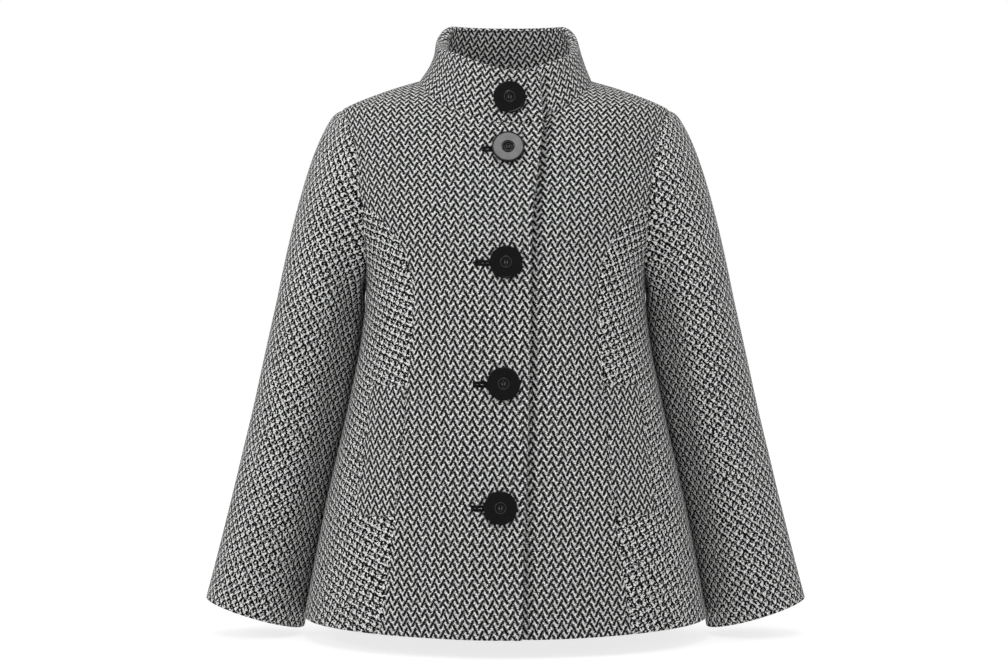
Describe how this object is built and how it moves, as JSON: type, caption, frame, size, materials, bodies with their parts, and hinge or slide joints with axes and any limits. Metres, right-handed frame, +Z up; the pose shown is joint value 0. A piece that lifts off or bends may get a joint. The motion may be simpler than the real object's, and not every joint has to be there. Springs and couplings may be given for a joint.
{
  "type": "short wool overcoat",
  "caption": "Hip-length flared overcoat in black and off-white chevron tweed with a funnel collar, large round buttons and slanted pocket welts, filled out as worn.",
  "frame": {"origin": "middle of the neck, level with the inner ends of the shoulder seams", "axes": "+Z up, -Y the coat's front, +X the wearer's left"},
  "size_m": [0.6958, 0.3424, 0.7006],
  "materials": {
    "tweed": "woven wool coating, matt, slightly hairy",
    "button": "polished black"
  },
  "bodies": {
    "root": {"front_right": "tweed", "front_left": "tweed", "side_front_right": "tweed", "side_front_left": "tweed", "back": "tweed", "sleeve_right": "tweed", "sleeve_left": "tweed", "collar": "tweed", "collar_facing": "tweed", "welt_right": "tweed", "welt_left": "tweed", "button_1": "button", "button_2": "button", "button_3": "button", "button_4": "button", "button_5": "button"}
  },
  "joints": []
}
